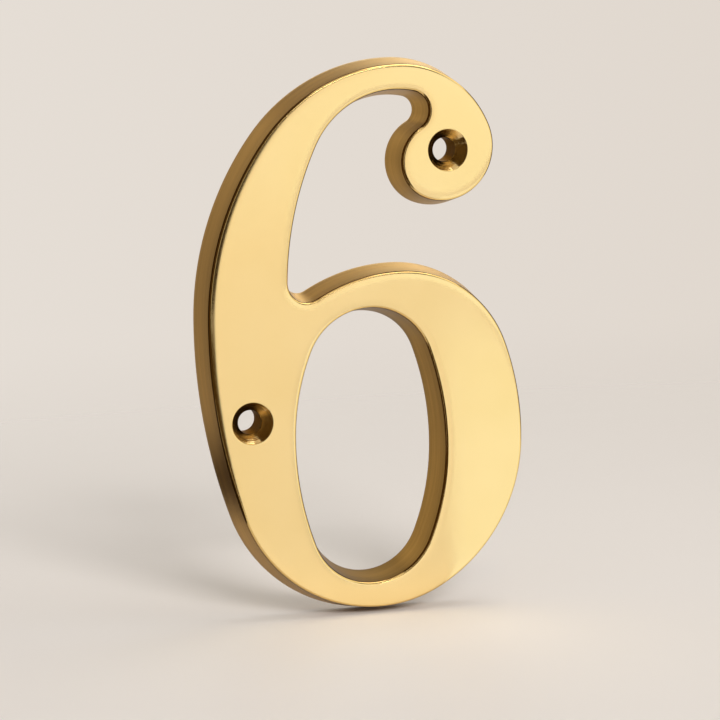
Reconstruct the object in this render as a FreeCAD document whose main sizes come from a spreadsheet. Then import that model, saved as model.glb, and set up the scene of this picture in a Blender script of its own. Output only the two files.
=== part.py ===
import FreeCAD, Part
import os
import Sketcher
from FreeCAD import Vector
from math import atan2, cos, hypot, radians, sin, sqrt, tan

# Door numeral six: one sand-cast brass piece with a flat back, sides that draw in
# towards the front, a softened front edge and two countersunk screw holes.
# Millimetres. The numeral stands upright, +Z up, and its face looks along -Y.
# Its back lies in the plane y = 0.

os.makedirs("parts", exist_ok=True)
doc = FreeCAD.newDocument("DoorNumeral")

# Driving sizes. Heights start at the foot and widths at the left flank, both of the
# back outline, which is the larger one. An angle called a turn is how far an outline
# bends in the sharper arc beside a high or low point, before the flatter arc that
# carries it on to the widest point takes over.
DRIVING_SIZES = {
    # The casting
    "thickness": 6.4,
    "draft_angle": 11.0,
    "edge_radius": 0.6,
    # The bowl, the closed lower half
    "overall_width": 63.0,
    "bowl_height": 64.5,
    "bowl_top_offset": 6.7,
    "bowl_top_turn": 69.0,
    "bowl_rise_radius": 33.7,
    "bowl_side_height": 31.0,
    "foot_offset": 2.3,
    "foot_right_turn": 27.5,
    "foot_left_turn": 69.5,
    # The arch, the open upper half
    "arch_rise": 37.5,
    "left_side_height": 55.5,
    "crown_from_left": 37.8,
    "crown_turn": 53.5,
    "arch_thickness": 6.9,
    "underside_offset": 0.8,
    "underside_radius": 16.0,
    "stem_radius": 58.5,
    "crotch_from_left": 17.2,
    "crotch_radius": 2.5,
    # The ball that ends the arch, and the notch between it and the arch
    "ball_radius": 11.0,
    "ball_reach": 8.0,
    "ball_drop": 16.2,
    "cheek_radius": 8.2,
    "cheek_angle": 69.0,
    "notch_radius": 2.5,
    # The counter, the hole in the bowl
    "stem_thickness": 18.7,
    "side_thickness": 17.5,
    "top_thickness": 8.8,
    "foot_thickness": 7.1,
    "counter_left_height": 34.0,
    "counter_right_height": 29.8,
    "counter_lean": 0.3,
    "counter_turn": 68.5,
    # The screw holes
    "bore_diameter": 4.4,
    "countersink_diameter": 7.7,
    "countersink_angle": 82.0,
    "ball_hole_aside": 0.8,
    "ball_hole_drop": 0.6,
    "lower_hole_from_left": 9.2,
    "lower_hole_height": 36.8,
}
sheet = doc.addObject("Spreadsheet::Sheet", "Sizes")
for row, (alias, value) in enumerate(DRIVING_SIZES.items(), start=1):
    sheet.set("A%d" % row, alias)
    sheet.set("B%d" % row, str(value))
    sheet.setAlias("B%d" % row, alias)
doc.recompute()


def size(alias):
    """The present value of a driving size, as the sheet holds it."""
    return float(sheet.get(alias))


# Sizes that follow from the driving ones, as the sketches state them
OVERALL_HEIGHT = "Sizes.bowl_height + Sizes.arch_rise"
MIDDLE = "Sizes.overall_width / 2"
BALL_ACROSS = "Sizes.crown_from_left + Sizes.ball_reach"
BALL_UP = OVERALL_HEIGHT + " - Sizes.ball_drop"
UPPER_HOLE_ACROSS = BALL_ACROSS + " + Sizes.ball_hole_aside"
UPPER_HOLE_UP = BALL_UP + " - Sizes.ball_hole_drop"
COUNTER_RIGHT = "Sizes.overall_width - Sizes.side_thickness"
COUNTER_TOP = "Sizes.bowl_height - Sizes.top_thickness"
COUNTER_MIDDLE = "(Sizes.stem_thickness + %s) / 2" % COUNTER_RIGHT
# How far the draft brings the sides in between the back and the face
DRAFT_INSET = "Sizes.thickness * tan(Sizes.draft_angle * 1 deg)"

# The number by which a sketch calls an arc's centre
CENTRE = 3


def quarter(width, height, turn):
    """The radii of the two arcs that turn a quarter of an outline.

    The first starts level at a high or low point and bends through turn degrees. The
    second carries on to the widest point, width across and height along, where the
    outline stands upright.
    """
    sine = sin(radians(turn))
    cosine = cos(radians(turn))
    sharper = (width * cosine - height * (1 - sine)) / (sine + cosine - 1)
    flatter = (height * sine - width * (1 - cosine)) / (sine + cosine - 1)
    return sharper, flatter


def meeting_point(centre_a, reach_a, centre_b, reach_b, left):
    """The point at given distances from two others, left or right of the line a to b."""
    across = hypot(centre_b[0] - centre_a[0], centre_b[1] - centre_a[1])
    along = ((centre_b[0] - centre_a[0]) / across, (centre_b[1] - centre_a[1]) / across)
    forward = (reach_a ** 2 - reach_b ** 2 + across ** 2) / (2 * across)
    aside = sqrt(reach_a ** 2 - forward ** 2) * (1 if left else -1)
    return (centre_a[0] + forward * along[0] - aside * along[1],
            centre_a[1] + forward * along[1] + aside * along[0])


def joint(first, second):
    """The point where two neighbouring arcs, each (centre, radius, convex), touch."""
    (centre_a, radius_a, convex_a), (centre_b, radius_b, convex_b) = first, second
    reach = hypot(centre_b[0] - centre_a[0], centre_b[1] - centre_a[1])
    along = ((centre_b[0] - centre_a[0]) / reach, (centre_b[1] - centre_a[1]) / reach)
    if convex_a != convex_b or radius_a > radius_b:
        return (centre_a[0] + radius_a * along[0], centre_a[1] + radius_a * along[1])
    return (centre_b[0] - radius_b * along[0], centre_b[1] - radius_b * along[1])


class Outline:
    """A closed chain of arcs in a sketch, walked clockwise as seen from the front.

    An arc is (centre, radius, convex): seen from inside the outline, a convex arc
    bulges out and the others hollow in. Neighbours share a tangent where they meet.
    """

    def __init__(self, sketch, arcs):
        self.sketch = sketch
        self.drawn = {}
        chain = list(arcs.values())
        joints = [joint(arc, chain[(i + 1) % len(chain)]) for i, arc in enumerate(chain)]
        for i, (name, (centre, radius, convex)) in enumerate(arcs.items()):
            came_from = atan2(joints[i - 1][1] - centre[1], joints[i - 1][0] - centre[0])
            goes_to = atan2(joints[i][1] - centre[1], joints[i][0] - centre[0])
            circle = Part.Circle(Vector(centre[0], centre[1], 0), Vector(0, 0, 1), radius)
            if convex:
                number = sketch.addGeometry(Part.ArcOfCircle(circle, goes_to, came_from))
                self.drawn[name] = (number, 2, 1)
            else:
                number = sketch.addGeometry(Part.ArcOfCircle(circle, came_from, goes_to))
                self.drawn[name] = (number, 1, 2)
        numbers = list(self.drawn.values())
        for i, (number, _, last_end) in enumerate(numbers):
            next_number, next_end, _ = numbers[(i + 1) % len(numbers)]
            self.constrain("Tangent", number, last_end, next_number, next_end)

    def constrain(self, *words):
        return self.sketch.addConstraint(Sketcher.Constraint(*words))

    def bind(self, expression, *words):
        """Add a dimension and tie it to the sheet."""
        self.sketch.setExpression("Constraints[%d]" % self.constrain(*words), expression)

    def place(self, name, end, across, up):
        """Hold an end or the centre of an arc at a distance from the left and the foot."""
        number = self.drawn[name][0]
        point = self.sketch.getPoint(number, end)
        self.bind(across, "DistanceX", -1, 1, number, end, point.x)
        self.bind(up, "DistanceY", -1, 1, number, end, point.y)

    def radius(self, name, expression):
        number = self.drawn[name][0]
        self.bind(expression, "Radius", number, self.sketch.Geometry[number].Radius)

    def turn(self, name, expression):
        """Hold the angle that an arc turns through."""
        number = self.drawn[name][0]
        arc = self.sketch.Geometry[number]
        self.bind(expression, "Angle", number, arc.LastParameter - arc.FirstParameter)

    def extreme(self, name, upright, across, up):
        """Place an arc's last end, where the outline runs level or upright."""
        number, _, last_end = self.drawn[name]
        self.place(name, last_end, across, up)
        lined_up = "Horizontal" if upright else "Vertical"
        self.constrain(lined_up, number, CENTRE, number, last_end)


def draw_numeral(sketch, inset, inset_text):
    """The numeral's outer edge, all of it brought in from the back outline by an inset."""
    width = size("overall_width")
    height = size("bowl_height") + size("arch_rise")
    left_up = size("left_side_height")
    side_up = size("bowl_side_height")

    # Crown of the arch, and the left flank above its widest point
    crown_across = size("crown_from_left")
    crown_radius, upper_flank = quarter(crown_across, height - left_up, size("crown_turn"))

    # Ball, the brow that leads into it and the cheek on its inner side
    ball = (crown_across + size("ball_reach"), height - size("ball_drop"))
    ball_radius = size("ball_radius")
    brow_radius = ((size("ball_reach") ** 2 + size("ball_drop") ** 2 - ball_radius ** 2)
                   / (2 * (size("ball_drop") - ball_radius)))
    cheek_radius = size("cheek_radius")
    cheek_angle = radians(size("cheek_angle"))
    cheek = (ball[0] - (ball_radius - cheek_radius) * cos(cheek_angle),
             ball[1] - (ball_radius - cheek_radius) * sin(cheek_angle))

    # Underside of the arch, and the notch between it and the ball
    under_radius = size("underside_radius")
    under = (crown_across - size("underside_offset"),
             height - size("arch_thickness") - under_radius)
    notch_radius = size("notch_radius")
    notch = meeting_point(cheek, cheek_radius + notch_radius,
                          under, under_radius - notch_radius, False)

    # Top of the bowl, and the crotch between it and the stem
    top_across = width / 2 + size("bowl_top_offset")
    top_radius, upper_side = quarter(
        width - top_across, size("bowl_height") - side_up, size("bowl_top_turn"))
    rise_radius = size("bowl_rise_radius")
    rise = (top_across, size("bowl_height") - rise_radius)
    crotch_radius = size("crotch_radius")
    crotch_across = size("crotch_from_left") + crotch_radius
    crotch_reach = sqrt((rise_radius + crotch_radius) ** 2 - (top_across - crotch_across) ** 2)
    crotch = (crotch_across, rise[1] + crotch_reach)
    stem_radius = size("stem_radius")
    stem = meeting_point(under, stem_radius - under_radius,
                         crotch, stem_radius - crotch_radius, True)

    # Foot of the bowl, and both flanks below their widest points
    foot_across = width / 2 + size("foot_offset")
    foot_right_radius, lower_side = quarter(
        width - foot_across, side_up, size("foot_right_turn"))
    foot_left_radius, lower_flank = quarter(foot_across, left_up, size("foot_left_turn"))

    outline = Outline(sketch, {
        "crown": ((crown_across, height - crown_radius), crown_radius - inset, True),
        "brow": ((crown_across, height - brow_radius), brow_radius - inset, True),
        "ball": (ball, ball_radius - inset, True),
        "cheek": (cheek, cheek_radius - inset, True),
        "notch": (notch, notch_radius + inset, False),
        "under": (under, under_radius + inset, False),
        "stem": (stem, stem_radius + inset, False),
        "crotch": (crotch, crotch_radius + inset, False),
        "bowl_rise": (rise, rise_radius - inset, True),
        "bowl_top": ((top_across, size("bowl_height") - top_radius), top_radius - inset, True),
        "upper_side": ((width - upper_side, side_up), upper_side - inset, True),
        "lower_side": ((width - lower_side, side_up), lower_side - inset, True),
        "foot_right": ((foot_across, foot_right_radius), foot_right_radius - inset, True),
        "foot_left": ((foot_across, foot_left_radius), foot_left_radius - inset, True),
        "lower_flank": ((lower_flank, left_up), lower_flank - inset, True),
        "upper_flank": ((upper_flank, left_up), upper_flank - inset, True),
    })
    smaller = " - " + inset_text
    larger = " + " + inset_text

    outline.extreme("crown", False, "Sizes.crown_from_left", OVERALL_HEIGHT + smaller)
    outline.turn("crown", "Sizes.crown_turn * 1 deg")

    outline.place("ball", CENTRE, BALL_ACROSS, BALL_UP)
    outline.radius("ball", "Sizes.ball_radius" + smaller)
    outline.radius("cheek", "Sizes.cheek_radius" + smaller)
    outline.bind(BALL_ACROSS + " - (Sizes.ball_radius - Sizes.cheek_radius)"
                 " * cos(Sizes.cheek_angle * 1 deg)",
                 "DistanceX", -1, 1, outline.drawn["cheek"][0], CENTRE, cheek[0])

    outline.radius("notch", "Sizes.notch_radius" + larger)
    outline.place("under", CENTRE, "Sizes.crown_from_left - Sizes.underside_offset",
                  OVERALL_HEIGHT + " - Sizes.arch_thickness - Sizes.underside_radius")
    outline.radius("under", "Sizes.underside_radius" + larger)
    outline.radius("stem", "Sizes.stem_radius" + larger)
    outline.radius("crotch", "Sizes.crotch_radius" + larger)
    outline.bind("Sizes.crotch_from_left + Sizes.crotch_radius",
                 "DistanceX", -1, 1, outline.drawn["crotch"][0], CENTRE, crotch_across)

    outline.extreme("bowl_rise", False, MIDDLE + " + Sizes.bowl_top_offset",
                    "Sizes.bowl_height" + smaller)
    outline.radius("bowl_rise", "Sizes.bowl_rise_radius" + smaller)
    outline.turn("bowl_top", "Sizes.bowl_top_turn * 1 deg")
    outline.extreme("upper_side", True, "Sizes.overall_width" + smaller,
                    "Sizes.bowl_side_height")
    outline.turn("foot_right", "Sizes.foot_right_turn * 1 deg")
    outline.extreme("foot_right", False, MIDDLE + " + Sizes.foot_offset", inset_text)
    outline.turn("foot_left", "Sizes.foot_left_turn * 1 deg")
    outline.extreme("lower_flank", True, inset_text, "Sizes.left_side_height")


def draw_counter(sketch, inset, inset_text):
    """The counter, an upright oval, all of it grown from its back outline by an inset."""
    left = size("stem_thickness")
    right = size("overall_width") - size("side_thickness")
    top = size("bowl_height") - size("top_thickness")
    foot = size("foot_thickness")
    left_up = size("counter_left_height")
    right_up = size("counter_right_height")
    turn = size("counter_turn")

    # The oval leans: its high point lies left of the middle and its low point right
    top_across = (left + right) / 2 - size("counter_lean")
    foot_across = (left + right) / 2 + size("counter_lean")
    top_right, upper_right = quarter(right - top_across, top - right_up, turn)
    foot_right, lower_right = quarter(right - foot_across, right_up - foot, turn)
    foot_left, lower_left = quarter(foot_across - left, left_up - foot, turn)
    top_left, upper_left = quarter(top_across - left, top - left_up, turn)

    outline = Outline(sketch, {
        "top_right": ((top_across, top - top_right), top_right + inset, True),
        "upper_right": ((right - upper_right, right_up), upper_right + inset, True),
        "lower_right": ((right - lower_right, right_up), lower_right + inset, True),
        "foot_right": ((foot_across, foot + foot_right), foot_right + inset, True),
        "foot_left": ((foot_across, foot + foot_left), foot_left + inset, True),
        "lower_left": ((left + lower_left, left_up), lower_left + inset, True),
        "upper_left": ((left + upper_left, left_up), upper_left + inset, True),
        "top_left": ((top_across, top - top_left), top_left + inset, True),
    })
    smaller = " - " + inset_text
    larger = " + " + inset_text
    for name in ("top_right", "foot_right", "foot_left", "top_left"):
        outline.turn(name, "Sizes.counter_turn * 1 deg")
    outline.extreme("top_left", False, COUNTER_MIDDLE + " - Sizes.counter_lean",
                    COUNTER_TOP + larger)
    outline.extreme("upper_right", True, COUNTER_RIGHT + larger,
                    "Sizes.counter_right_height")
    outline.extreme("foot_right", False, COUNTER_MIDDLE + " + Sizes.counter_lean",
                    "Sizes.foot_thickness" + smaller)
    outline.extreme("lower_left", True, "Sizes.stem_thickness" + smaller,
                    "Sizes.counter_left_height")


def upright_sketch(body, name, forward_text):
    """A sketch parallel to the back, a distance in front of it."""
    sketch = body.newObject("Sketcher::SketchObject", name)
    for feature in body.Origin.OriginFeatures:
        if feature.Role == "XZ_Plane":
            sketch.AttachmentSupport = [(feature, "")]
    sketch.MapMode = "FlatFace"
    sketch.setExpression("AttachmentOffset.Base.z", forward_text)
    sketch.Visibility = False
    doc.recompute()
    return sketch


def draw_sections(body, name, draw):
    """One outline drawn twice, on the back and, changed by the draft, on the face."""
    at_back = upright_sketch(body, name + "Back", "0")
    draw(at_back, 0, "0")
    at_face = upright_sketch(body, name + "Face", "Sizes.thickness")
    draw(at_face, size("thickness") * tan(radians(size("draft_angle"))), DRAFT_INSET)
    doc.recompute()
    return at_back, at_face


# The casting: sides that run straight from the back outline to the smaller face
body = doc.addObject("PartDesign::Body", "NumeralSix")
body.Label = "numeral_six"
numeral_back, numeral_face = draw_sections(body, "Numeral", draw_numeral)
casting = body.newObject("PartDesign::AdditiveLoft", "Casting")
casting.Profile = numeral_back
casting.Sections = [numeral_face]
casting.Ruled = True
doc.recompute()

# The counter, cast through the bowl and wider at the face
counter_back, counter_face = draw_sections(body, "Counter", draw_counter)
counter = body.newObject("PartDesign::SubtractiveLoft", "Counter")
counter.Profile = counter_back
counter.Sections = [counter_face]
counter.Ruled = True
doc.recompute()

# The front edge, softened all round the outside and round the counter by buffing
front_edges = []
for index, edge in enumerate(counter.Shape.Edges, start=1):
    if edge.BoundBox.YMax < 0.001 - size("thickness"):
        front_edges.append("Edge%d" % index)
softened = body.newObject("PartDesign::Fillet", "SoftenedEdge")
softened.Base = (counter, front_edges)
softened.Radius = size("edge_radius")
softened.setExpression("Radius", "Sizes.edge_radius")
doc.recompute()

# The two screw holes, countersunk from the face: one near the middle of the ball and one
# near the middle of the stem
hole_centres = upright_sketch(body, "HoleCentres", "Sizes.thickness")
for across, up in ((UPPER_HOLE_ACROSS, UPPER_HOLE_UP),
                   ("Sizes.lower_hole_from_left", "Sizes.lower_hole_height")):
    number = hole_centres.addGeometry(
        Part.Circle(Vector(0, 0, 0), Vector(0, 0, 1), size("bore_diameter") / 2))
    for expression, words in (
            (across, ("DistanceX", -1, 1, number, CENTRE, 1.0)),
            (up, ("DistanceY", -1, 1, number, CENTRE, 1.0)),
            ("Sizes.bore_diameter", ("Diameter", number, size("bore_diameter")))):
        constraint = hole_centres.addConstraint(Sketcher.Constraint(*words))
        hole_centres.setExpression("Constraints[%d]" % constraint, expression)
doc.recompute()

screw_holes = body.newObject("PartDesign::Hole", "ScrewHoles")
screw_holes.Profile = hole_centres
doc.recompute()
screw_holes.DepthType = "ThroughAll"
screw_holes.setExpression("Diameter", "Sizes.bore_diameter")
screw_holes.HoleCutType = "Countersink"
screw_holes.HoleCutCustomValues = True
screw_holes.setExpression("HoleCutDiameter", "Sizes.countersink_diameter")
screw_holes.setExpression("HoleCutCountersinkAngle", "Sizes.countersink_angle")
doc.recompute()

# The part's own frame: the origin lies midway between the two screw holes, on the back
body.setExpression("Placement.Base.x",
                   "-(%s + Sizes.lower_hole_from_left) / 2" % UPPER_HOLE_ACROSS)
body.setExpression("Placement.Base.z", "-(%s + Sizes.lower_hole_height) / 2" % UPPER_HOLE_UP)
doc.recompute()

# Nothing is written unless every feature was built and the numeral is one sound solid
for item in doc.Objects:
    if "Invalid" in item.State or "Error" in item.State:
        raise RuntimeError("%s was not built: %s" % (item.Name, item.State))
volumes = [feature.Shape.Volume for feature in (casting, counter, softened, screw_holes)]
if volumes != sorted(volumes, reverse=True) or len(set(volumes)) != len(volumes):
    raise RuntimeError("a cut takes nothing away: %s" % volumes)
if body.Shape.isNull() or not body.Shape.isValid() or len(body.Shape.Solids) != 1:
    raise RuntimeError("the numeral is not one sound solid")
body.Shape.exportStep("parts/%s.step" % body.Label)
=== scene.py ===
from math import atan2, ceil, cos, hypot, pi, radians, sin, sqrt, tan

import bmesh
import bpy
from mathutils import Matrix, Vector


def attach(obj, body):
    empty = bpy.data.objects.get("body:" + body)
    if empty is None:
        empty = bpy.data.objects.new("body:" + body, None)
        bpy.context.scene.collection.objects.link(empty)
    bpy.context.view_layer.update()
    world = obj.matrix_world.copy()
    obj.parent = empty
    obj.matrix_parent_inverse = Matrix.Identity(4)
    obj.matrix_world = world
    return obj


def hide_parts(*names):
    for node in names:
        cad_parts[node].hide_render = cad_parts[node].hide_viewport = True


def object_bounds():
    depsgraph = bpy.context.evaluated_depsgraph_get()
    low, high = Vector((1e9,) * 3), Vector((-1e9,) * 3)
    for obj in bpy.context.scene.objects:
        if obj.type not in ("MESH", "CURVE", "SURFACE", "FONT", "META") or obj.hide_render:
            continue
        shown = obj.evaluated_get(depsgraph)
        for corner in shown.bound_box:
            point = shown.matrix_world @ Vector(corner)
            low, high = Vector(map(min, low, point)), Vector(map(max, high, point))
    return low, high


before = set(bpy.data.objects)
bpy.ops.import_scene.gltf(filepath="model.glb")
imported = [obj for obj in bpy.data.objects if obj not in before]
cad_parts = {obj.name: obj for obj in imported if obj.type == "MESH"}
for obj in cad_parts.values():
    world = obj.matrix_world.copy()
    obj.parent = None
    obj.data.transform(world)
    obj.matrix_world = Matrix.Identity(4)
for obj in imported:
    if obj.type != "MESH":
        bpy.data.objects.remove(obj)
cad_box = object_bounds()

# The numeral: one sand casting in brass, about 100 mm tall and 6 mm thick. Its sides
# draw in towards the front so that it leaves the mould, its face and front edge are
# buffed to a mirror, and two screw holes are bored and countersunk through it.

# Sizes in millimetres, from the left flank and the foot of the back outline
thickness = 6.4
draft = radians(11.0)
overall_width = 63.0
bowl_height = 64.5
arch_rise = 37.5
overall_height = bowl_height + arch_rise
bowl_side_height = 31.0
left_side_height = 55.5
crown_across = 37.8
ball_reach = 8.0
ball_drop = 16.2
ball_across = crown_across + ball_reach
ball_up = overall_height - ball_drop
arch_thickness = 6.9
stem_thickness = 18.7
side_thickness = 17.5
top_thickness = 8.8
foot_thickness = 7.1
ball_hole_aside = 0.8
ball_hole_drop = 0.6
upper_hole = (ball_across + ball_hole_aside, ball_up - ball_hole_drop)
lower_hole = (9.2, 36.8)
bore_radius = 2.2
countersink_radius = 3.85
countersink_slope = radians(41.0)


def quarter(width, height, turn):
    """Radii of the sharper and the flatter arc that together turn a quarter of an outline."""
    sine = sin(turn)
    cosine = cos(turn)
    sharper = (width * cosine - height * (1 - sine)) / (sine + cosine - 1)
    flatter = (height * sine - width * (1 - cosine)) / (sine + cosine - 1)
    return sharper, flatter


def meeting_point(centre_a, reach_a, centre_b, reach_b, side):
    """The point at given distances from two others, left (1) or right (-1) of the line a to b."""
    across = hypot(centre_b[0] - centre_a[0], centre_b[1] - centre_a[1])
    along = ((centre_b[0] - centre_a[0]) / across, (centre_b[1] - centre_a[1]) / across)
    forward = (reach_a ** 2 - reach_b ** 2 + across ** 2) / (2 * across)
    aside = sqrt(reach_a ** 2 - forward ** 2) * side
    return (centre_a[0] + forward * along[0] - aside * along[1],
            centre_a[1] + forward * along[1] + aside * along[0])


def joint(first, second):
    """The point where two neighbouring arcs touch."""
    (centre_a, radius_a, convex_a), (centre_b, radius_b, convex_b) = first, second
    reach = hypot(centre_b[0] - centre_a[0], centre_b[1] - centre_a[1])
    along = ((centre_b[0] - centre_a[0]) / reach, (centre_b[1] - centre_a[1]) / reach)
    if convex_a != convex_b or radius_a > radius_b:
        return (centre_a[0] + radius_a * along[0], centre_a[1] + radius_a * along[1])
    return (centre_b[0] - radius_b * along[0], centre_b[1] - radius_b * along[1])


def walk(arcs, metal_inside):
    """Points along a closed chain of arcs, each with the direction that leads into the metal."""
    longest_step = 0.6
    widest_turn = radians(3.0)
    steps = []
    joints = [joint(arc, arcs[(i + 1) % len(arcs)]) for i, arc in enumerate(arcs)]
    for i, (centre, radius, convex) in enumerate(arcs):
        start = atan2(joints[i - 1][1] - centre[1], joints[i - 1][0] - centre[0])
        end = atan2(joints[i][1] - centre[1], joints[i][0] - centre[0])
        turn = (start - end) % (2 * pi) if convex else (end - start) % (2 * pi)
        count = ceil(max(turn * radius / longest_step, turn / widest_turn))
        into_metal = -1 if convex and metal_inside else 1
        for k in range(count):
            angle = start + turn * k / count * (-1 if convex else 1)
            ray = (cos(angle), sin(angle))
            point = (centre[0] + radius * ray[0], centre[1] + radius * ray[1])
            steps.append((point, (ray[0] * into_metal, ray[1] * into_metal)))
    return steps


# Arch, from the crown over the ball and the notch beside it to the arch's underside
crown_turn = radians(53.5)
crown_radius, upper_flank = quarter(crown_across, overall_height - left_side_height, crown_turn)
ball_radius = 11.0
brow_radius = ((ball_reach ** 2 + ball_drop ** 2 - ball_radius ** 2)
               / (2 * (ball_drop - ball_radius)))
cheek_radius = 8.2
cheek_angle = radians(69.0)
cheek = (ball_across - (ball_radius - cheek_radius) * cos(cheek_angle),
         ball_up - (ball_radius - cheek_radius) * sin(cheek_angle))
underside_offset = 0.8
under_radius = 16.0
under = (crown_across - underside_offset, overall_height - arch_thickness - under_radius)
notch_radius = 2.5
notch = meeting_point(cheek, cheek_radius + notch_radius,
                      under, under_radius - notch_radius, -1)

# Bowl, from the crotch over its top and round the foot, and the stem between arch and bowl
bowl_top_offset = 6.7
bowl_top_turn = radians(69.0)
top_across = overall_width / 2 + bowl_top_offset
top_radius, upper_side = quarter(
    overall_width - top_across, bowl_height - bowl_side_height, bowl_top_turn)
rise_radius = 33.7
rise = (top_across, bowl_height - rise_radius)
crotch_from_left = 17.2
crotch_radius = 2.5
crotch_across = crotch_from_left + crotch_radius
crotch_reach = sqrt((rise_radius + crotch_radius) ** 2 - (top_across - crotch_across) ** 2)
crotch = (crotch_across, rise[1] + crotch_reach)
stem_radius = 58.5
stem = meeting_point(under, stem_radius - under_radius,
                     crotch, stem_radius - crotch_radius, 1)
foot_offset = 2.3
foot_right_turn = radians(27.5)
foot_left_turn = radians(69.5)
foot_across = overall_width / 2 + foot_offset
foot_right_radius, lower_side = quarter(
    overall_width - foot_across, bowl_side_height, foot_right_turn)
foot_left_radius, lower_flank = quarter(foot_across, left_side_height, foot_left_turn)

# Outer edge, clockwise as seen from the front: each arc is (centre, radius, convex)
outer_edge = walk([
    ((crown_across, overall_height - crown_radius), crown_radius, True),
    ((crown_across, overall_height - brow_radius), brow_radius, True),
    ((ball_across, ball_up), ball_radius, True),
    (cheek, cheek_radius, True),
    (notch, notch_radius, False),
    (under, under_radius, False),
    (stem, stem_radius, False),
    (crotch, crotch_radius, False),
    (rise, rise_radius, True),
    ((top_across, bowl_height - top_radius), top_radius, True),
    ((overall_width - upper_side, bowl_side_height), upper_side, True),
    ((overall_width - lower_side, bowl_side_height), lower_side, True),
    ((foot_across, foot_right_radius), foot_right_radius, True),
    ((foot_across, foot_left_radius), foot_left_radius, True),
    ((lower_flank, left_side_height), lower_flank, True),
    ((upper_flank, left_side_height), upper_flank, True),
], True)

# Counter, the upright oval through the bowl, which leans a little to the right at its foot
counter_right = overall_width - side_thickness
counter_top = bowl_height - top_thickness
counter_left_up = 34.0
counter_right_up = 29.8
counter_lean = 0.3
counter_turn = radians(68.5)
high_across = (stem_thickness + counter_right) / 2 - counter_lean
low_across = (stem_thickness + counter_right) / 2 + counter_lean
top_right, upper_right = quarter(
    counter_right - high_across, counter_top - counter_right_up, counter_turn)
foot_right, lower_right = quarter(
    counter_right - low_across, counter_right_up - foot_thickness, counter_turn)
foot_left, lower_left = quarter(
    low_across - stem_thickness, counter_left_up - foot_thickness, counter_turn)
top_left, upper_left = quarter(
    high_across - stem_thickness, counter_top - counter_left_up, counter_turn)
counter_edge = walk([
    ((high_across, counter_top - top_right), top_right, True),
    ((counter_right - upper_right, counter_right_up), upper_right, True),
    ((counter_right - lower_right, counter_right_up), lower_right, True),
    ((low_across, foot_thickness + foot_right), foot_right, True),
    ((low_across, foot_thickness + foot_left), foot_left, True),
    ((stem_thickness + lower_left, counter_left_up), lower_left, True),
    ((stem_thickness + upper_left, counter_left_up), upper_left, True),
    ((high_across, counter_top - top_left), top_left, True),
], False)


def rounding(centre, depth, radius, start_turn, end_turn, steps, finish):
    """Steps of a profile round an edge, from one turn of the surface to another."""
    turns = [start_turn + (end_turn - start_turn) * k / steps for k in range(steps + 1)]
    return [(centre - radius * sin(turn), depth - radius * cos(turn), turn, finish)
            for turn in turns]


def straight(start, end, turn, steps, finish):
    """Steps of a profile on a line between two points, without the points themselves."""
    return [(start[0] + (end[0] - start[0]) * k / steps,
             start[1] + (end[1] - start[1]) * k / steps, turn, finish)
            for k in range(1, steps)]


# How the metal runs from the back round the side to the face. Each step of a profile is
# (distance into the metal, depth, how far the surface has turned from facing the front,
# finish). Round the face lies a band that the buffing wheel has worn down a little.
edge_radius = 0.6
back_edge_radius = 0.25
back_margin = 0.15
face_margin = 0.08
buffed_width = 1.5
buffed_tilt = radians(6.0)
buffed_steps = 12
side_turn = pi / 2 - draft
back_centre = back_edge_radius * tan(draft) + back_edge_radius / cos(draft)
buffed_drop = buffed_tilt * buffed_width / 3
edge_depth = -thickness + buffed_drop + edge_radius * cos(buffed_tilt)
edge_centre = -edge_depth * tan(draft) + edge_radius / cos(draft)
buffed_start = edge_centre - edge_radius * sin(buffed_tilt)
side_start = -back_edge_radius - back_edge_radius * cos(side_turn)
side_end = edge_depth - edge_radius * cos(side_turn)

side_profile = [(back_centre + back_margin, 0.0, pi, "back")]
side_profile += rounding(back_centre, -back_edge_radius, back_edge_radius,
                         pi, side_turn, 5, "side")
side_profile += straight((-side_start * tan(draft), side_start),
                         (-side_end * tan(draft), side_end), side_turn, 8, "side")
side_profile += rounding(edge_centre, edge_depth, edge_radius,
                         side_turn, buffed_tilt, 16, "face")
for k in range(1, buffed_steps + 1):
    along = k / buffed_steps
    side_profile.append((buffed_start + buffed_width * along,
                         -thickness + buffed_drop * (1 - along) ** 3,
                         buffed_tilt * (1 - along) ** 2, "face"))
side_profile.append((buffed_start + buffed_width + face_margin, -thickness, 0.0, "face"))

# The same for a screw hole, where the distance is measured out from the hole's centre
drill_break = 0.12
drill_margin = 0.3
lip_radius = 0.06
rim_radius = 0.22
cone_turn = pi / 2 - countersink_slope
bore_length = thickness - (countersink_radius - bore_radius) / tan(countersink_slope)
lip_depth = -bore_length + (lip_radius * (1 - sin(countersink_slope))
                            / cos(countersink_slope))
rim_depth = -thickness + rim_radius
rim_drop = rim_radius - rim_radius * sin(countersink_slope)
rim_centre = (countersink_radius - rim_drop * tan(countersink_slope)
              + rim_radius * cos(countersink_slope))
cone_end = (rim_centre - rim_radius * sin(cone_turn), rim_depth - rim_radius * cos(cone_turn))

hole_profile = [(bore_radius + drill_margin, 0.0, pi, "back")]
hole_profile += rounding(bore_radius + drill_break, -drill_break, drill_break,
                         pi, pi / 2, 4, "hole")
hole_profile.append((bore_radius, -bore_length / 2, pi / 2, "hole"))
hole_profile += rounding(bore_radius + lip_radius, lip_depth, lip_radius,
                         pi / 2, cone_turn, 3, "hole")
hole_profile += straight(hole_profile[-1], cone_end, cone_turn, 10, "hole")
hole_profile += rounding(rim_centre, rim_depth, rim_radius, cone_turn, 0.0, 8, "face")
hole_profile.append((rim_centre + face_margin, -thickness, 0.0, "face"))


def hole_edge(centre):
    """Directions round a screw hole, each from its centre."""
    count = 120
    angles = [2 * pi * k / count for k in range(count)]
    return [(centre, (cos(angle), sin(angle))) for angle in angles]


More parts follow.
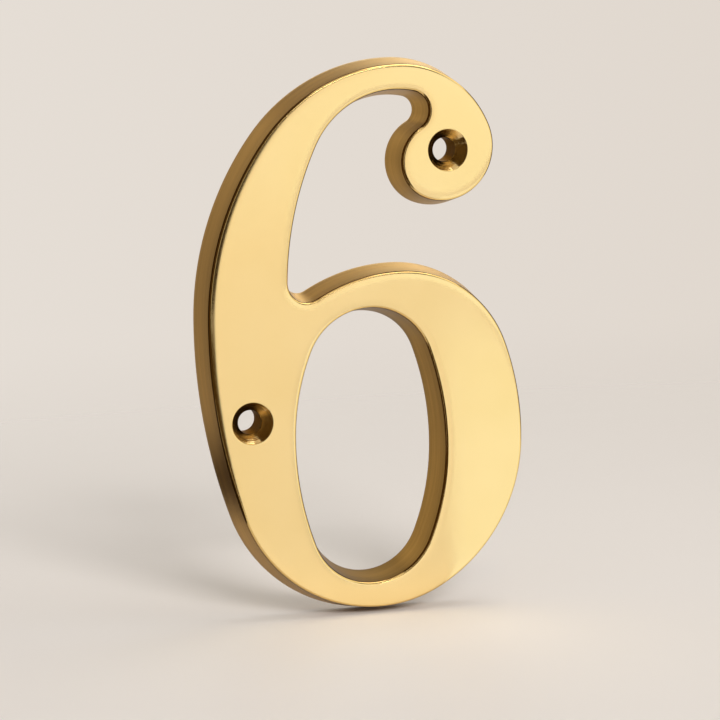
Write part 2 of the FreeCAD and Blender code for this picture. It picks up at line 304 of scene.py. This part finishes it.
# One closed mesh. The row's frame starts midway between the screw holes, on the back.
finishes = {"face": 0, "side": 1, "back": 2, "hole": 3}
middle_across = (upper_hole[0] + lower_hole[0]) / 2
middle_up = (upper_hole[1] + lower_hole[1]) / 2
bm = bmesh.new()
turned = bm.verts.layers.float.new("turned")
face_rims = []
back_rims = []
for steps, profile in ((outer_edge, side_profile), (counter_edge, side_profile),
                       (hole_edge(upper_hole), hole_profile),
                       (hole_edge(lower_hole), hole_profile)):
    rings = []
    for distance, depth, turn, finish in profile:
        ring = []
        for point, inward in steps:
            vertex = bm.verts.new(((point[0] + inward[0] * distance - middle_across) / 1000,
                                   depth / 1000,
                                   (point[1] + inward[1] * distance - middle_up) / 1000))
            vertex[turned] = turn / pi
            ring.append(vertex)
        rings.append(ring)
    for (distance, depth, turn, finish), ring, next_ring in zip(profile, rings, rings[1:]):
        for i in range(len(steps)):
            j = (i + 1) % len(steps)
            strip = bm.faces.new((ring[i], ring[j], next_ring[j], next_ring[i]))
            strip.material_index = finishes[finish]
    for rims, ring in ((back_rims, rings[0]), (face_rims, rings[-1])):
        for i in range(len(ring)):
            rims.append(bm.edges.get((ring[i - 1], ring[i])))
for rims, finish in ((face_rims, "face"), (back_rims, "back")):
    for filled in bmesh.ops.triangle_fill(bm, use_beauty=True, edges=rims)["geom"]:
        if isinstance(filled, bmesh.types.BMFace):
            filled.material_index = finishes[finish]
bmesh.ops.recalc_face_normals(bm, faces=bm.faces)
for polygon in bm.faces:
    polygon.smooth = True
mesh = bpy.data.meshes.new("numeral")
bm.to_mesh(mesh)
bm.free()
numeral = bpy.data.objects.new("numeral", mesh)
bpy.context.scene.collection.objects.link(numeral)


class Nodes:
    """The nodes of a material, a group or a world, added one at a time."""

    # Numbers of a Mix node's colour sockets, which share their names with its other ones
    first_colour = 6
    second_colour = 7
    mixed_colour = 2

    def __init__(self, tree):
        self.tree = tree
        self.tree.nodes.clear()

    def add(self, kind, values=None, **settings):
        """A node with its settings, and values or outputs for its named or numbered inputs."""
        node = self.tree.nodes.new(kind)
        for name, value in settings.items():
            setattr(node, name, value)
        for name, value in (values or {}).items():
            if isinstance(value, bpy.types.NodeSocket):
                self.tree.links.new(value, node.inputs[name])
            else:
                node.inputs[name].default_value = value
        return node

    def ramp(self, factor, stops):
        """A colour ramp: stops are (place, grey or colour), in order."""
        node = self.add("ShaderNodeValToRGB", {"Fac": factor})
        elements = node.color_ramp.elements
        elements[0].position = stops[0][0]
        elements[1].position = stops[-1][0]
        for place, colour in stops[1:-1]:
            elements.new(place)
        for element, (place, colour) in zip(elements, stops):
            red_green_blue = (colour,) * 3 if isinstance(colour, float) else colour
            element.color = (*red_green_blue, 1)
        return node.outputs["Color"]

    def times(self, first, second):
        """One colour multiplied by another."""
        node = self.add("ShaderNodeMix", {"Factor": 1.0, Nodes.first_colour: first,
                                          Nodes.second_colour: second},
                        data_type="RGBA", blend_type="MULTIPLY")
        return node.outputs[Nodes.mixed_colour]


def new_material(name):
    """A material, and its nodes, of which there are none yet."""
    material = bpy.data.materials.new(name)
    material.use_nodes = True
    return material, Nodes(material.node_tree)


# Grain that all four finishes share: noise drawn out along one direction, given as a mask
# and as the normal of the grooves that it cuts
grain = bpy.data.node_groups.new("grain", "ShaderNodeTree")
for name, kind, value in (("Stretch", "NodeSocketVector", (50.0, 50.0, 50.0)),
                          ("Detail", "NodeSocketFloat", 3.0),
                          ("Depth", "NodeSocketFloat", 0.2)):
    grain.interface.new_socket(name, in_out="INPUT", socket_type=kind).default_value = value
grain.interface.new_socket("Mask", in_out="OUTPUT", socket_type="NodeSocketFloat")
grain.interface.new_socket("Normal", in_out="OUTPUT", socket_type="NodeSocketVector")
deepest_groove = 0.0001
inside = Nodes(grain)
given = inside.add("NodeGroupInput").outputs
place = inside.add("ShaderNodeTexCoord").outputs["Object"]
drawn_out = inside.add("ShaderNodeVectorMath", {0: place, 1: given["Stretch"]},
                       operation="MULTIPLY").outputs[0]
noise = inside.add("ShaderNodeTexNoise", {"Vector": drawn_out, "Scale": 1.0,
                                          "Detail": given["Detail"]}).outputs[0]
grooves = inside.add("ShaderNodeBump", {"Strength": given["Depth"], "Height": noise,
                                        "Distance": deepest_groove}).outputs[0]
inside.add("NodeGroupOutput", {"Mask": noise, "Normal": grooves})


def brass(nodes, colour, roughness, normal, glancing=(1.0, 1.0, 1.0)):
    """The metal shader, with the tint that the metal takes on when seen at a glancing angle."""
    shader = nodes.add("ShaderNodeBsdfPrincipled", {
        "Base Color": colour, "Metallic": 1.0, "Roughness": roughness, "Normal": normal,
        "Specular Tint": (*glancing, 1)})
    nodes.add("ShaderNodeOutputMaterial", {"Surface": shader.outputs[0]})


# Buffed brass of the face: a mirror with slow waves in the polish. On the rounding of its edge
# the colour is darkened with painted shade, and a painted dark line runs along it next to the
# sides, standing in for the dark that the rounded edge reflects.
low_polish = (0.95, 0.73, 0.335)
high_polish = (0.99, 0.775, 0.38)
painted_shoulder_shade = (0.84, 0.76, 0.62)
painted_line_shade = (0.20, 0.13, 0.06)
material, face = new_material("buffed_brass")
waves = face.add("ShaderNodeGroup", {"Stretch": (55.0, 55.0, 55.0), "Detail": 2.0,
                                     "Depth": 0.25}, node_tree=grain).outputs
turned_by = face.add("ShaderNodeAttribute", attribute_name="turned").outputs["Fac"]
polished = face.ramp(waves["Mask"], [(0.3, low_polish), (0.7, high_polish)])
# Painted shade and painted reflection: by how far the surface has turned, the edge's rounding is
# darkened, lightly on its shoulder and to a dark brown line near the sides.
painted_edge_shade = face.ramp(turned_by, [(0.0, 1.0), (0.06, 1.0), (0.11, painted_shoulder_shade),
                              (0.27, painted_shoulder_shade), (0.32, painted_line_shade), (0.44, painted_line_shade)])
roughness = face.ramp(waves["Mask"], [(0.2, 0.10), (0.8, 0.15)])
brass(face, face.times(polished, painted_edge_shade), roughness, waves["Normal"])
mesh.materials.append(material)

# Satin brass of the sides: filed and brushed along the outline, browner than the face, and
# darkened with painted shade towards both the back and the front edge
low_brush = (0.41, 0.23, 0.050)
high_brush = (0.52, 0.30, 0.072)
side_glance = (1.0, 0.96, 0.88)
material, side = new_material("satin_brass")
streaks = side.add("ShaderNodeGroup", {"Stretch": (60.0, 1600.0, 60.0), "Detail": 4.0,
                                       "Depth": 0.15}, node_tree=grain).outputs
place = side.add("ShaderNodeTexCoord").outputs["Object"]
depth = side.add("ShaderNodeSeparateXYZ", {"Vector": place}).outputs["Y"]
forward = side.add("ShaderNodeMapRange", {"Value": depth, "From Min": 0.0,
                                          "From Max": -thickness / 1000}).outputs[0]
brushed = side.ramp(streaks["Mask"], [(0.3, low_brush), (0.7, high_brush)])
# Painted shade: by depth, the sides are darker towards the back edge and darker still towards the
# front edge.
painted_side_shade = side.ramp(forward, [(0.0, 0.80), (0.30, 1.0), (0.55, 0.96), (1.0, 0.72)])
roughness = side.ramp(streaks["Mask"], [(0.2, 0.30), (0.8, 0.42)])
brass(side, side.times(brushed, painted_side_shade), roughness, streaks["Normal"], side_glance)
mesh.materials.append(material)

# Linished brass of the back: rubbed flat on a belt, with straight scratches
low_scratch = (0.55, 0.38, 0.18)
high_scratch = (0.74, 0.54, 0.27)
material, back = new_material("linished_brass")
scratches = back.add("ShaderNodeGroup", {"Stretch": (2200.0, 40.0, 40.0), "Detail": 5.0,
                                         "Depth": 0.3}, node_tree=grain).outputs
rubbed = back.ramp(scratches["Mask"], [(0.3, low_scratch), (0.7, high_scratch)])
roughness = back.ramp(scratches["Mask"], [(0.2, 0.34), (0.8, 0.5)])
brass(back, rubbed, roughness, scratches["Normal"])
mesh.materials.append(material)

# Machined brass of the holes: the cone bright with the fine rings that the cutter leaves, the
# bore behind it dull and darkened with painted shade
low_cut = (0.74, 0.50, 0.20)
high_cut = (0.93, 0.70, 0.33)
painted_bore_shade = (0.12, 0.115, 0.18)
hole_glance = (0.50, 0.38, 0.28)
material, hole = new_material("machined_brass")
cutter_rings = hole.add("ShaderNodeGroup", {"Stretch": (20.0, 3400.0, 20.0), "Detail": 2.0,
                                            "Depth": 0.5}, node_tree=grain).outputs
turned_by = hole.add("ShaderNodeAttribute", attribute_name="turned").outputs["Fac"]
cut = hole.ramp(cutter_rings["Mask"], [(0.3, low_cut), (0.7, high_cut)])
# Painted shade: the bore, deep in the hole, is darkened to a grey-brown.
painted_bore_darkening = hole.ramp(turned_by, [(0.0, 1.0), (0.30, 1.0), (0.42, painted_bore_shade), (1.0, painted_bore_shade)])
roughness = hole.ramp(turned_by, [(0.0, 0.12), (0.30, 0.12), (0.42, 0.35), (1.0, 0.35)])
brass(hole, hole.times(cut, painted_bore_darkening), roughness, cutter_rings["Normal"], hole_glance)
mesh.materials.append(material)

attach(numeral, "root")
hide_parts("numeral_six")

# The floor: pale satin paper that the numeral stands on, at the height of its foot. Far
# off it fades into the pale studio behind.
floor_height = cad_box[0][2]
floor_reach = 2.5
paper_colour = (0.80, 0.775, 0.77)
fade_centre = (0.1, -0.35, 0.0)
fade_start = 0.3
fade_end = 0.78
bpy.ops.mesh.primitive_circle_add(vertices=96, radius=floor_reach, fill_type="NGON",
                                  location=(0, 0, floor_height))
floor = bpy.context.object
floor.name = "floor"
material, paper = new_material("pale_paper")
place = paper.add("ShaderNodeTexCoord").outputs["Object"]
distance = paper.add("ShaderNodeVectorMath", {0: place, 1: fade_centre},
                     operation="DISTANCE").outputs["Value"]
fade = paper.add("ShaderNodeMapRange", {"Value": distance, "From Min": fade_start,
                                        "From Max": fade_end},
                 interpolation_type="SMOOTHERSTEP").outputs[0]
satin = paper.add("ShaderNodeBsdfPrincipled", {
    "Base Color": (*paper_colour, 1), "Roughness": 0.55, "Specular IOR Level": 0.25})
clear = paper.add("ShaderNodeBsdfTransparent")
faded = paper.add("ShaderNodeMixShader", {"Fac": fade, 1: satin.outputs[0],
                                          2: clear.outputs[0]})
paper.add("ShaderNodeOutputMaterial", {"Surface": faded.outputs[0]})
floor.data.materials.append(material)

# The studio: a pale room that is warm on the left and white on the right, and soft lamps
# in front, overhead and behind. Cards that only the metal mirrors stand round the numeral:
# dark ones draw the lines along its edges, and two pale ones brighten its face.
room_right = (0.942, -0.336, 0.0)
room_left_colour = (0.80, 0.745, 0.685)
room_middle_colour = (0.745, 0.68, 0.615)
room_near_right_colour = (0.965, 0.865, 0.755)
room_right_colour = (1.06, 1.05, 0.99)
seen_strength = 1.0
lighting_strength = 0.42
world = bpy.data.worlds.new("studio")
bpy.context.scene.world = world
world.use_nodes = True
studio = Nodes(world.node_tree)
look = studio.add("ShaderNodeTexCoord").outputs["Generated"]
rightward = studio.add("ShaderNodeVectorMath", {0: look, 1: room_right},
                       operation="DOT_PRODUCT").outputs["Value"]
from_left = studio.add("ShaderNodeMath", {0: rightward, 1: 0.5, 2: 0.5},
                       operation="MULTIPLY_ADD").outputs[0]
room_colour = studio.ramp(from_left, [
    (0.36, room_left_colour), (0.60, room_middle_colour), (0.66, room_middle_colour),
    (0.76, room_near_right_colour), (0.83, room_right_colour)])
ray = studio.add("ShaderNodeLightPath").outputs
seen = studio.add("ShaderNodeMath", {0: ray["Is Camera Ray"], 1: ray["Is Glossy Ray"]},
                  operation="MAXIMUM").outputs[0]
seen_or_through = studio.add("ShaderNodeMath", {0: seen, 1: ray["Is Transmission Ray"]},
                             operation="MAXIMUM").outputs[0]
strength = studio.add("ShaderNodeMapRange", {
    "Value": seen_or_through, "To Min": lighting_strength, "To Max": seen_strength}).outputs[0]
room = studio.add("ShaderNodeBackground", {"Color": room_colour, "Strength": strength})
studio.add("ShaderNodeOutputWorld", {"Surface": room.outputs[0]})


def lamp(name, place, aim, width, height, radiance, colour):
    """A rectangular soft lamp of a given brightness, unseen by the camera."""
    data = bpy.data.lights.new(name, "AREA")
    data.shape = "RECTANGLE"
    data.size = width
    data.size_y = height
    data.energy = radiance * pi * width * height
    data.color = colour
    thing = bpy.data.objects.new(name, data)
    bpy.context.scene.collection.objects.link(thing)
    thing.location = place
    thing.rotation_euler = (Vector(aim) - Vector(place)).to_track_quat("-Z", "Y").to_euler()
    thing.visible_camera = False
    return thing


lamp("key_lamp", place=(0.19, -2.54, 1.62), aim=(0.06, -0.06, -0.06),
     width=1.29, height=1.07, radiance=14.0, colour=(1.0, 0.96, 0.91))
lamp("overhead_lamp", place=(0.17, 0.01, 0.45), aim=(0.03, -0.02, 0.0),
     width=0.36, height=0.26, radiance=2.2, colour=(1.0, 0.97, 0.93))
# The lamp behind is only for the metal: it lights the tops of the arch and the bowl
back_lamp = lamp("back_lamp", place=(0.27, 0.62, 0.29), aim=(0.0, 0.0, 0.0),
                 width=0.68, height=0.20, radiance=1.9, colour=(1.0, 0.95, 0.66))
back_lamp.visible_diffuse = False
# The glow that the face throws on the floor before its foot
glow = lamp("face_glow", place=(0.004, -0.018, -0.035), aim=(0.003, -0.020, -0.061),
            width=0.045, height=0.018, radiance=0.55, colour=(1.0, 0.82, 0.52))
glow.visible_glossy = False


def card(name, corner, one_side, other_side, colour):
    """A card with a corner and two sides, seen in mirrored light only, and from one side."""
    corner, one_side, other_side = Vector(corner), Vector(one_side), Vector(other_side)
    shape = bpy.data.meshes.new(name)
    shape.from_pydata([corner, corner + one_side, corner + one_side + other_side,
                       corner + other_side], [], [(0, 1, 2, 3)])
    thing = bpy.data.objects.new(name, shape)
    bpy.context.scene.collection.objects.link(thing)
    thing.visible_camera = False
    thing.visible_diffuse = False
    thing.visible_shadow = False
    material, nodes = new_material(name)
    front = nodes.add("ShaderNodeEmission", {"Color": (*colour, 1)})
    clear = nodes.add("ShaderNodeBsdfTransparent")
    behind = nodes.add("ShaderNodeNewGeometry").outputs["Backfacing"]
    one_sided = nodes.add("ShaderNodeMixShader", {"Fac": behind, 1: front.outputs[0],
                                                  2: clear.outputs[0]})
    nodes.add("ShaderNodeOutputMaterial", {"Surface": one_sided.outputs[0]})
    shape.materials.append(material)


dark_brown = (0.06, 0.033, 0.008)
darker_brown = (0.04, 0.022, 0.006)
darkest_brown = (0.03, 0.018, 0.006)
plain_brown = (0.06, 0.040, 0.020)
warm_grey = (0.30, 0.24, 0.18)
cool_grey = (0.42, 0.42, 0.46)
cream = (1.5, 1.4, 1.2)
warm_white = (1.03, 1.02, 0.97)
card("left_card", corner=(-0.14, -0.33, -0.0605), one_side=(0.0, 0.445, 0.0),
     other_side=(0.0, 0.0, 0.52), colour=dark_brown)
card("front_card", corner=(0.30, -0.42, 0.14), one_side=(-0.44, 0.0, 0.0),
     other_side=(0.0, 0.06, 0.20), colour=dark_brown)
card("right_card", corner=(0.20, 0.18, -0.06), one_side=(0.0, -0.20, 0.0),
     other_side=(0.0, 0.0, 0.20), colour=plain_brown)
card("back_card", corner=(-0.30, 0.70, 0.48), one_side=(1.0, 0.0, 0.0),
     other_side=(0.0, -0.20, 0.36), colour=warm_grey)
card("low_card", corner=(-0.14, -0.42, -0.0595), one_side=(0.20, 0.0, 0.0),
     other_side=(-0.08, 0.36, 0.0), colour=dark_brown)
card("middle_card", corner=(0.07, -0.46, -0.0595), one_side=(-0.18, 0.0, 0.0),
     other_side=(0.0, 0.0, 0.30), colour=darkest_brown)
card("cream_card", corner=(0.31, -0.12, 0.47), one_side=(0.0, 0.30, 0.0),
     other_side=(0.32, 0.0, -0.14), colour=cream)
card("pale_card", corner=(0.022, -0.008, -0.0603), one_side=(0.148, -0.392, 0.0),
     other_side=(0.30, 0.0, 0.0), colour=warm_white)
card("side_card", corner=(-0.16, -0.05, -0.0595), one_side=(0.12, 0.0, 0.0),
     other_side=(0.0, 0.12, 0.0), colour=darker_brown)
card("counter_card", corner=(0.0, 0.03, -0.0595), one_side=(0.045, 0.0, 0.0),
     other_side=(0.0, 0.0, 0.05), colour=cool_grey)

# The camera: a long lens, to the left of the numeral's front and a little above it, at the
# angle and distance at which the outline fits the photograph's
camera_azimuth = radians(-19.615)
camera_elevation = radians(7.847)
camera_distance = 0.47210
camera_aim = Vector((0.004041, 0.0, -0.014516))
towards_camera = Vector((sin(camera_azimuth) * cos(camera_elevation),
                         -cos(camera_azimuth) * cos(camera_elevation),
                         sin(camera_elevation)))
camera_data = bpy.data.cameras.new("camera")
camera_data.lens = 128.0
camera_data.sensor_width = 36.0
camera = bpy.data.objects.new("camera", camera_data)
bpy.context.scene.collection.objects.link(camera)
camera.location = camera_aim + towards_camera * camera_distance
camera.rotation_euler = (-towards_camera).to_track_quat("-Z", "Y").to_euler()
bpy.context.scene.camera = camera
bpy.context.scene.view_settings.view_transform = "Standard"
